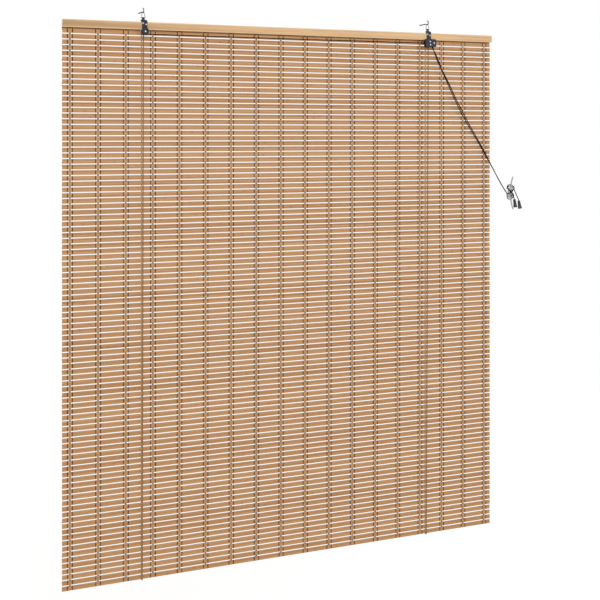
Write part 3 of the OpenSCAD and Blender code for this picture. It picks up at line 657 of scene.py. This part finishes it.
def pine_finish():
    material, tree, shader = start_material("pale_pine", (214, 174, 130), 0.55)
    place = add(tree, "TexCoord")
    long_grain = noise(tree, stretched(tree, place.outputs["Object"], (3, 130, 130)), 1.0, 6.0, 0.6)
    pores = noise(tree, stretched(tree, place.outputs["Object"], (25, 1500, 1500)), 1.0, 3.0)
    wood = ramp(tree, long_grain,
                [(0.3, (200, 152, 102)), (0.5, (228, 185, 135)), (0.7, (246, 208, 158))])
    specks = ramp(tree, pores, [(0.3, (186, 138, 92)), (0.7, (246, 210, 162))])
    wood = mixed(tree, 0.25, wood, specks)
    across_rail = add(tree, "SeparateXYZ")
    join(tree, place.outputs["Object"], across_rail.inputs["Vector"])
    # Darker towards the left end of the rail.
    left_end_darkening = add(tree, "MapRange",
                    {"From Min": DARK_FROM, "From Max": DARK_TO, "To Min": 1.0, "To Max": 0.0})
    join(tree, across_rail.outputs["X"], left_end_darkening.inputs["Value"])
    wood = mixed(tree, left_end_darkening.outputs["Result"], wood, (207, 201, 193), "MULTIPLY")
    from_middle = add(tree, "Math", {1: RAIL_MIDDLE}, operation="SUBTRACT")
    join(tree, across_rail.outputs["Z"], from_middle.inputs[0])
    height = add(tree, "Math", operation="ABSOLUTE")
    join(tree, from_middle.outputs[0], height.inputs[0])
    # Painted highlight: paler bands along the long edges, up and down from the middle.
    painted_edge_highlight = add(tree, "MapRange", {"From Min": HIGHLIGHT_FROM, "From Max": HIGHLIGHT_TO, "To Max": 0.6})
    join(tree, height.outputs[0], painted_edge_highlight.inputs["Value"])
    wood = mixed(tree, painted_edge_highlight.outputs["Result"], wood, (255, 222, 172))
    rings = add(tree, "TexWave", {"Scale": 60.0, "Distortion": 3.0, "Detail": 2.0},
                wave_type="RINGS", rings_direction="X")
    join(tree, stretched(tree, place.outputs["Object"], (0, 1, 1), (0, 0.03, 0.05)),
         rings.inputs["Vector"])
    # The sawn ends show rings, and their pale colour is painted light.
    end_rings_painted_light = ramp(tree, rings.outputs["Fac"], [(0.0, (244, 216, 172)), (1.0, (255, 240, 212))])
    facing = add(tree, "SeparateXYZ")
    join(tree, place.outputs["Normal"], facing.inputs["Vector"])
    sawn = add(tree, "Math", operation="ABSOLUTE")
    join(tree, facing.outputs["X"], sawn.inputs[0])
    join(tree, mixed(tree, sawn.outputs[0], wood, end_rings_painted_light), shader.inputs["Base Color"])
    bump(tree, shader, pores, 0.0002, 0.25)
    shader.inputs["Coat Weight"].default_value = 0.1
    shader.inputs["Coat Roughness"].default_value = 0.4
    return material


# %% [markdown]
# A CAD node whose shape is right keeps its mesh: only its material slot changes. Behind the top of
# the mat lie three clamp strips of the same bamboo, dressed in a darker, greyer bamboo that paints
# the shade under the rail, which shows as a dark line.

# %% Dress the rail and the clamp strips
def dress(material, *names):
    """Gives CAD nodes a finish in place of their plain one."""
    for name in names:
        slots = nodes[name].data.materials
        slots.clear()
        slots.append(material)


dress(pine_finish(), "head_rail")
# The darker, greyer bamboo on the clamp strips is painted shade.
dress(bamboo_finish("strip_bamboo_painted_shade", (150, 128, 106), (126, 106, 88), (98, 80, 64)), "clamp_strips")
print("dressed:", nodes["head_rail"].name, nodes["clamp_strips"].name)

# %% [markdown]
# The brackets are pressed from sheet and lacquered a dark grey. Lacquer on sheet has an orange
# peel so fine that it only blurs the highlights, and the colour shifts a little from place to
# place. A low metallic value keeps the lacquer dark from every side.

# %% Lacquered sheet
def lacquer_finish():
    material, tree, shader = start_material("gunmetal_lacquer", (24, 27, 29), 0.42)
    place = add(tree, "TexCoord").outputs["Object"]
    cloud = noise(tree, place, 160.0, 3.0)
    peel = noise(tree, place, 2200.0, 2.0)
    join(tree, ramp(tree, cloud, [(0.3, (13, 15, 17)), (0.7, (34, 38, 41))]),
         shader.inputs["Base Color"])
    bump(tree, shader, peel, 0.0001, 0.3)
    shader.inputs["Specular IOR Level"].default_value = 0.35
    return material


dress(lacquer_finish(), "left_bracket", "right_bracket", "left_guide_pin")

# %% [markdown]
# Zinc plate is a pale bluish grey with a soft sparkle, and nickel plate is brighter and smoother.
# One helper makes them all, because the difference is only in the numbers. The small rivets and
# screws are near white and less metallic than they could be: a dome of pure metal shows the dark
# parts of the room as black, while the real ones look like bright dots, so their pale colour is
# partly a painted highlight. The hooks and bails take plain steel later.

# %% Plated metal
def plated_finish(name, light, dark, roughness, metallic=1.0):
    material, tree, shader = start_material(name, light, roughness, metallic)
    place = add(tree, "TexCoord").outputs["Object"]
    crystals = noise(tree, place, 900.0, 4.0)
    join(tree, ramp(tree, crystals, [(0.35, dark), (0.65, light)]), shader.inputs["Base Color"])
    bump(tree, shader, crystals, 0.00005, 0.3)
    return material


STEEL = plated_finish("plain_steel", (122, 125, 128), (84, 88, 92), 0.42)
dress(plated_finish("zinc_plate", (178, 183, 190), (140, 146, 153), 0.38),
      "cleat", "mat_staples", "cord_staples", "lock_cam")
# Near white and only half metallic: the pale colour of screws and rivets is partly a painted
# highlight.
dress(plated_finish("screw_zinc_and_painted_highlight", (206, 208, 210), (170, 173, 176), 0.35, 0.5), "bracket_screws")
dress(plated_finish("nickel_and_painted_highlight", (236, 238, 240), (212, 215, 218), 0.3, 0.4),
      "left_axle", "lock_rivets")

# %% [markdown]
# The rollers inside the cages are turned from natural nylon. Light goes a little way into nylon,
# so a touch of subsurface keeps them from looking like chalk.

# %% Nylon rollers
def nylon_finish():
    material, tree, shader = start_material("natural_nylon", (214, 205, 182), 0.45)
    place = add(tree, "TexCoord").outputs["Object"]
    turning = noise(tree, stretched(tree, place, (300, 4000, 300)), 1.0, 2.0)
    join(tree, ramp(tree, turning, [(0.3, (202, 192, 168)), (0.7, (222, 214, 192))]),
         shader.inputs["Base Color"])
    bump(tree, shader, turning, 0.00005, 0.3)
    shader.inputs["Subsurface Weight"].default_value = 0.1
    return material


dress(nylon_finish(), "left_sheave", "keeper_roller", "cord_roller")

# %% [markdown]
# The wall hooks and the bails are bent from round wire. In CAD they are swept with a few sides, so
# smooth ones replace them here: a curve through the same points, with a round bevel. The part of
# the hook in the wall carries a screw thread, a thin ridge that winds round the shank.

# %% Wire helper
def wire(name, line, radius, closed=False, resolution=5):
    curve = bpy.data.curves.new(name, "CURVE")
    curve.dimensions = "3D"
    curve.bevel_depth = radius
    curve.bevel_resolution = resolution
    curve.use_fill_caps = True
    spline = curve.splines.new("POLY")
    spline.points.add(len(line) - 1)
    for node, p in zip(spline.points, line):
        node.co = (*p, 1)
    spline.use_cyclic_u = closed
    return as_mesh(name, curve)


# %% Sizes of the wall hooks
HOOK_R = 0.006
HOOK_WIRE = 0.0016
SEAT_Y = -0.01805
SEAT_DROP = 0.0025
EASE_ANGLE = 30
TIP_ANGLE = 20
HOOK_MIDDLE = HOOK_R - SEAT_DROP
EASE_R = SEAT_DROP / (1 - math.cos(math.radians(EASE_ANGLE))) - HOOK_R
EASE_Y = SEAT_Y + (HOOK_R + EASE_R) * math.sin(math.radians(EASE_ANGLE))
SHANK_END = 0.03
COLLAR = [(0, 0), (0.0018, 0), (0.0022, -0.0004),
          (0.0022, -0.0016), (0.0018, -0.0020), (0, -0.0020)]
SCREW_POINT = [(HOOK_WIRE, 0), (HOOK_WIRE * 0.6, 0.0025), (0.0003, 0.004), (0, 0.004)]
print("hook", 2 * HOOK_R, "m across, wire", 2 * HOOK_WIRE)


# %% Turned parts of a hook
def turned(bm, profile, place, steps=32):
    """Spins a profile of (radius, depth) round an axis along Y, from a point, in a bmesh."""
    line = [bm.verts.new((place[0] + r, place[1] + y, place[2])) for r, y in profile]
    edges = [bm.edges.new(pair) for pair in zip(line, line[1:])]
    bmesh.ops.spin(bm, geom=line + edges, cent=place, axis=(0, 1, 0), steps=steps,
                   angle=2 * math.pi, use_merge=True, use_duplicate=False)
    bmesh.ops.remove_doubles(bm, verts=bm.verts, dist=1e-6)


# %% One wall hook
EASE_STEPS = 7
BEND_STEPS = 40


def wall_hook(name, x):
    line = [Vector((x, SHANK_END, 0)), Vector((x, -0.002, 0))]
    for k in range(EASE_STEPS):
        a = math.radians(EASE_ANGLE * k / EASE_STEPS)
        line.append(Vector((x, EASE_Y - EASE_R * math.sin(a), EASE_R * math.cos(a) - EASE_R)))
    for k in range(BEND_STEPS + 1):
        a = math.radians(-EASE_ANGLE + (180 + TIP_ANGLE + EASE_ANGLE) * k / BEND_STEPS)
        line.append(Vector((x, SEAT_Y - HOOK_R * math.sin(a), HOOK_MIDDLE - HOOK_R * math.cos(a))))
    rod = wire(name + "_rod", line, HOOK_WIRE)
    bm = bmesh.new()
    bm.from_mesh(rod.data)
    bpy.data.objects.remove(rod)
    turned(bm, COLLAR, Vector((x, 0, 0)))
    turned(bm, SCREW_POINT, Vector((x, SHANK_END, 0)), 16)
    for face in bm.faces:
        face.smooth = True
    hook = placed(name, bm)
    hook.data.set_sharp_from_angle(angle=math.radians(40))
    return hook


# %% Screw thread of a hook
RIDGE_R = 0.00028
RIDGE_PITCH = 0.0016
RIDGE_STEPS = 16
RIDGE_START, RIDGE_END = 0.006, 0.033
RUNOUT_STEPS = 24


def screw_ridge(name, x, start, end, radius):
    """The ridge of a wood screw: a thin wire wound round the shank, sunk half way into it."""
    turns = (end - start) / RIDGE_PITCH
    count = int(turns * RIDGE_STEPS)
    line = []
    for k in range(count + 1):
        a = 2 * math.pi * turns * k / count
        fade = min(1.0, (count - k) / RUNOUT_STEPS)
        r = radius * (0.45 + 0.55 * fade)
        y = start + (end - start) * k / count
        line.append(Vector((x + r * math.cos(a), y, r * math.sin(a))))
    return wire(name, line, RIDGE_R, resolution=1)


# %% Two wall hooks
LEFT_HOOK_X = -0.4706
RIGHT_HOOK_X = 0.4598
for side, x in (("left", LEFT_HOOK_X), ("right", RIGHT_HOOK_X)):
    hook = wall_hook(side + "_wall_hook", x)
    ridge = screw_ridge(side + "_hook_thread", x, RIDGE_START, RIDGE_END, HOOK_WIRE)
    for piece in (hook, ridge):
        piece.data.materials.append(STEEL)
        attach(piece, BLIND)
    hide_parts(side + "_hook")
    print(hook.name, "faces:", len(hook.data.polygons))

# %% [markdown]
# A bail is a triangle of thin wire that hangs on the hook and carries the strap. Its three corners
# are arcs, and the straight sides are what is left between them, so the line needs only the points
# of the arcs and is then closed.

# %% Sizes of a bail
BAIL_WIRE = 0.0008
BAIL_CORNER_X = 0.00435
BAIL_CORNER_Z = -0.016
BAIL_CORNER_R = 0.0016
BAIL_APEX_Z = -0.0025
BAIL_APEX_R = 0.00245
CORNER_STEPS = 12
print("bail wire", 2 * BAIL_WIRE, "m thick")


# %% Bails
def bail(name, x):
    side = math.hypot(BAIL_CORNER_X, BAIL_CORNER_Z - BAIL_APEX_Z)
    lean = math.degrees(math.asin((BAIL_APEX_R - BAIL_CORNER_R) / side))
    normal = math.degrees(math.atan2(BAIL_CORNER_Z - BAIL_APEX_Z, BAIL_CORNER_X)) + 90 - lean
    line = []
    for cx, cz, r, a0, a1 in ((0, BAIL_APEX_Z, BAIL_APEX_R, normal, 180 - normal),
                              (-BAIL_CORNER_X, BAIL_CORNER_Z, BAIL_CORNER_R, 180 - normal, 270),
                              (BAIL_CORNER_X, BAIL_CORNER_Z, BAIL_CORNER_R, 270, 360 + normal)):
        for k in range(CORNER_STEPS + 1):
            a = math.radians(a0 + (a1 - a0) * k / CORNER_STEPS)
            line.append(Vector((x + cx + r * math.cos(a), SEAT_Y, cz + r * math.sin(a))))
    return wire(name, line, BAIL_WIRE, closed=True, resolution=3)


for side, x in (("left", LEFT_HOOK_X), ("right", RIGHT_HOOK_X)):
    loop = bail(side + "_wire_bail", x)
    loop.data.materials.append(STEEL)
    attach(loop, BLIND)
    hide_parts(side + "_bail")

# %% [markdown]
# A tassel is a moulded bell, gloss black, with a bead round its neck and a thicker lip. Its shape
# is a line turned round an axis, so the spin operator makes it: the line goes down the outside,
# round the lip and up the inside, and the axis leans the way the bell hangs. A cone would give the
# same outline from afar, but not the wall, the bead or the lip.

# %% Line of a tassel
TASSEL_SEAT = 0.00963
TASSEL_SIDES = 40
TASSEL_LINE = [
    (0.0013, 0), (0.0030, 0.0002), (0.0041, 0.0001), (0.0047, -0.0006), (0.0048, -0.0014),
    (0.0044, -0.0021), (0.0045, -0.0032), (0.0048, -0.0080), (0.0052, -0.0130), (0.0057, -0.0180),
    (0.0062, -0.0215), (0.0067, -0.0236), (0.0070, -0.0248), (0.0069, -0.0256), (0.0064, -0.0260),
    (0.0058, -0.0257), (0.0055, -0.0250), (0.0048, -0.0210), (0.0041, -0.0160), (0.0036, -0.0110),
    (0.0033, -0.0084), (0.0028, -0.0078), (0.0013, -0.0078)]
print("tassel", -min(z for _, z in TASSEL_LINE), "m long")


# %% One tassel
def tassel(name, end, lean):
    """A bell whose knot seat is at the end of its cord, leaning by so many degrees."""
    bm = bmesh.new()
    outline = [bm.verts.new((r, 0, z)) for r, z in TASSEL_LINE]
    edges = [bm.edges.new(pair) for pair in zip(outline, outline[1:])]
    edges.append(bm.edges.new((outline[-1], outline[0])))
    bmesh.ops.spin(bm, geom=outline + edges, cent=(0, 0, 0), axis=(0, 0, 1), steps=TASSEL_SIDES,
                   angle=2 * math.pi, use_merge=True, use_duplicate=False)
    bmesh.ops.remove_doubles(bm, verts=bm.verts, dist=1e-6)
    for face in bm.faces:
        face.smooth = True
    a = math.radians(lean)
    tilt = Vector((0, 0, -1)).rotation_difference(Vector((math.sin(a), 0, -math.cos(a))))
    bmesh.ops.rotate(bm, cent=(0, 0, 0), matrix=tilt.to_matrix(), verts=bm.verts)
    top = end + TASSEL_SEAT * Vector((-math.sin(a), 0, math.cos(a)))
    bmesh.ops.translate(bm, verts=bm.verts, vec=top)
    return placed(name, bm)


# %% Tassel finish
def tassel_finish():
    material, tree, shader = start_material("gloss_black", (9, 9, 10), 0.16)
    place = add(tree, "TexCoord").outputs["Object"]
    moulding = noise(tree, stretched(tree, place, (120, 120, 30)), 1.0, 2.0)
    join(tree, ramp(tree, moulding, [(0.3, (5, 5, 6)), (0.7, (13, 13, 14))]),
         shader.inputs["Base Color"])
    bump(tree, shader, moulding, 0.0004, 0.2)
    shader.inputs["Specular IOR Level"].default_value = 0.6
    return material


# %% Two tassels
TASSEL_BLACK = tassel_finish()
LEFT_LEAN, RIGHT_LEAN = 10, 11
left_end_point = cords["left_lift_cord"][1][-1]
right_end_point = cords["right_lift_cord"][1][-1]
left_bell = tassel("left_bell", left_end_point, LEFT_LEAN)
right_bell = tassel("right_bell", right_end_point, RIGHT_LEAN)
for bell, node in ((left_bell, "left_tassel"), (right_bell, "right_tassel")):
    bell.data.materials.append(TASSEL_BLACK)
    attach(bell, BLIND)
    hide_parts(node)
    print(bell.name, "faces:", len(bell.data.polygons))

# %% [markdown]
# Each cord ends in an overhand knot at both ends. An overhand knot drawn tight is a trefoil, so
# the knot is a short trefoil loop of the same cord. The curve has a plain formula, so no points
# have to be placed by hand.

# %% One knot
KNOT_SCALE = 0.00045
KNOT_R = 0.00085
KNOT_STEP = 0.0006
KNOT_POINTS = 48


def overhand(name, centre):
    """A trefoil of thin cord round a point."""
    line = []
    for k in range(KNOT_POINTS + 1):
        t = 2 * math.pi * k / KNOT_POINTS
        x = math.sin(t) + 2 * math.sin(2 * t)
        y = math.cos(t) - 2 * math.cos(2 * t)
        z = -1.1 * math.sin(3 * t)
        line.append(centre + Vector((x, y, z)) * KNOT_SCALE)
    line, _ = even_steps(line, KNOT_STEP)
    knot = laid_cord(name, line, KNOT_R)
    knot.data.materials.append(CORD_BROWN)
    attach(knot, BLIND)
    return knot


# %% Four knots
LEFT_RAIL_KNOT = Vector((-0.4715, -0.0045, -0.032))
RIGHT_RAIL_KNOT = Vector((0.46, -0.0045, -0.032))
left_end = overhand("left_end_knot", left_end_point)
right_end = overhand("right_end_knot", right_end_point)
left_rail = overhand("left_rail_knot", LEFT_RAIL_KNOT)
right_rail = overhand("right_rail_knot", RIGHT_RAIL_KNOT)
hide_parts("tassel_knots")
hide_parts("rail_knots")
print("knots:", *[k.name for k in (left_end, right_end, left_rail, right_rail)])

# %% [markdown]
# Each cord joins the body of the blind in place of its CAD node.
# Both leave the rail where they are tied and end in the knot that carries their tassel.

for name, node, pieces in (
        ("left_lift_cord", "left_cord", [left_bell, left_end, left_rail]),
        ("right_lift_cord", "right_cord", [right_bell, right_end, right_rail])):
    thing, line, length = cords[name]
    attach(thing, BLIND)
    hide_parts(node)
    print(name, "declared,", len(pieces), "pieces on it")

# %% [markdown]
# The stage is a pale floor below the blind and an even world. The background is white for the
# camera and for reflections only, so the brightness behind the blind never changes the light on
# it. Light Path tells the shader which kind of ray is asking.

# %% White backdrop for camera rays
def seen_directly(tree):
    """1 for camera, glossy and transmission rays, 0 for the light that falls on things."""
    path = add(tree, "LightPath")
    first = add(tree, "Math", operation="MAXIMUM")
    join(tree, path.outputs["Is Camera Ray"], first.inputs[0])
    join(tree, path.outputs["Is Glossy Ray"], first.inputs[1])
    both = add(tree, "Math", operation="MAXIMUM")
    join(tree, first.outputs[0], both.inputs[0])
    join(tree, path.outputs["Is Transmission Ray"], both.inputs[1])
    return both.outputs[0]


world = bpy.data.worlds.new("studio")
world.use_nodes = True
bpy.context.scene.world = world
sky = world.node_tree
background = sky.nodes["Background"]
background.inputs["Color"].default_value = (1, 1, 1, 1)
DAYLIGHT = 0.46
level = add(sky, "MapRange", {"To Min": DAYLIGHT, "To Max": 1.0})
join(sky, seen_directly(sky), level.inputs["Value"])
join(sky, level.outputs["Result"], background.inputs["Strength"])
print("daylight", DAYLIGHT)

# %% [markdown]
# The floor lies well below the blind, which hangs on a wall that isn't shown. Its own colour is
# pale, and a glow that only the camera and reflections see lifts it to white without lighting the
# blind. A plain emission would do that too, but it would shine up at the slats.

# %% Floor
FLOOR_Z = -2.2
FLOOR_R = 5.0
FLOOR_GLOW = 0.57


def pale_floor():
    bm = bmesh.new()
    bmesh.ops.create_circle(bm, cap_ends=True, segments=64, radius=FLOOR_R)
    bmesh.ops.translate(bm, verts=bm.verts, vec=(0, 0, FLOOR_Z))
    floor = placed("floor", bm)
    material, tree, shader = start_material("pale_floor", (236, 236, 236), 0.9)
    glow = add(tree, "MapRange", {"To Min": 0.0, "To Max": FLOOR_GLOW})
    join(tree, seen_directly(tree), glow.inputs["Value"])
    shader.inputs["Emission Color"].default_value = (1, 1, 1, 1)
    join(tree, glow.outputs["Result"], shader.inputs["Emission Strength"])
    floor.data.materials.append(material)
    print("floor at", FLOOR_Z)


pale_floor()

# %% [markdown]
# Three large soft lamps light the blind the way a studio does: a key high above and behind the
# camera, a low one behind it that gives the metal and the tassels their highlights, and a weaker
# fill from the right. Large lamps give soft shadows between the slats, which a small lamp would
# draw as hard lines.

# %% Lamps
def soft_lamp(name, place, target, size, power):
    """An area lamp of a width and height in metres, aimed at a point."""
    data = bpy.data.lights.new(name, "AREA")
    data.shape = "RECTANGLE"
    data.size, data.size_y = size
    data.energy = power
    lamp = bpy.data.objects.new(name, data)
    lamp.location = place
    lamp.rotation_euler = (Vector(target) - Vector(place)).to_track_quat("-Z", "Y").to_euler()
    bpy.context.scene.collection.objects.link(lamp)


MIDDLE = (0, 0, -0.8)
soft_lamp("key", (-0.9, -4.7, 1.9), MIDDLE, (1.2, 1.2), 54)
soft_lamp("front", (-1.6, -4.5, -0.05), MIDDLE, (2.2, 1.6), 35)
soft_lamp("fill", (3.0, -3.6, 0.4), MIDDLE, (2.2, 2.2), 25)

# %% [markdown]
# Standard keeps a colour on screen as it was picked, where the default would grey it a little.

# %% Picture settings
bpy.context.scene.view_settings.view_transform = "Standard"
print("view transform:", bpy.context.scene.view_settings.view_transform)
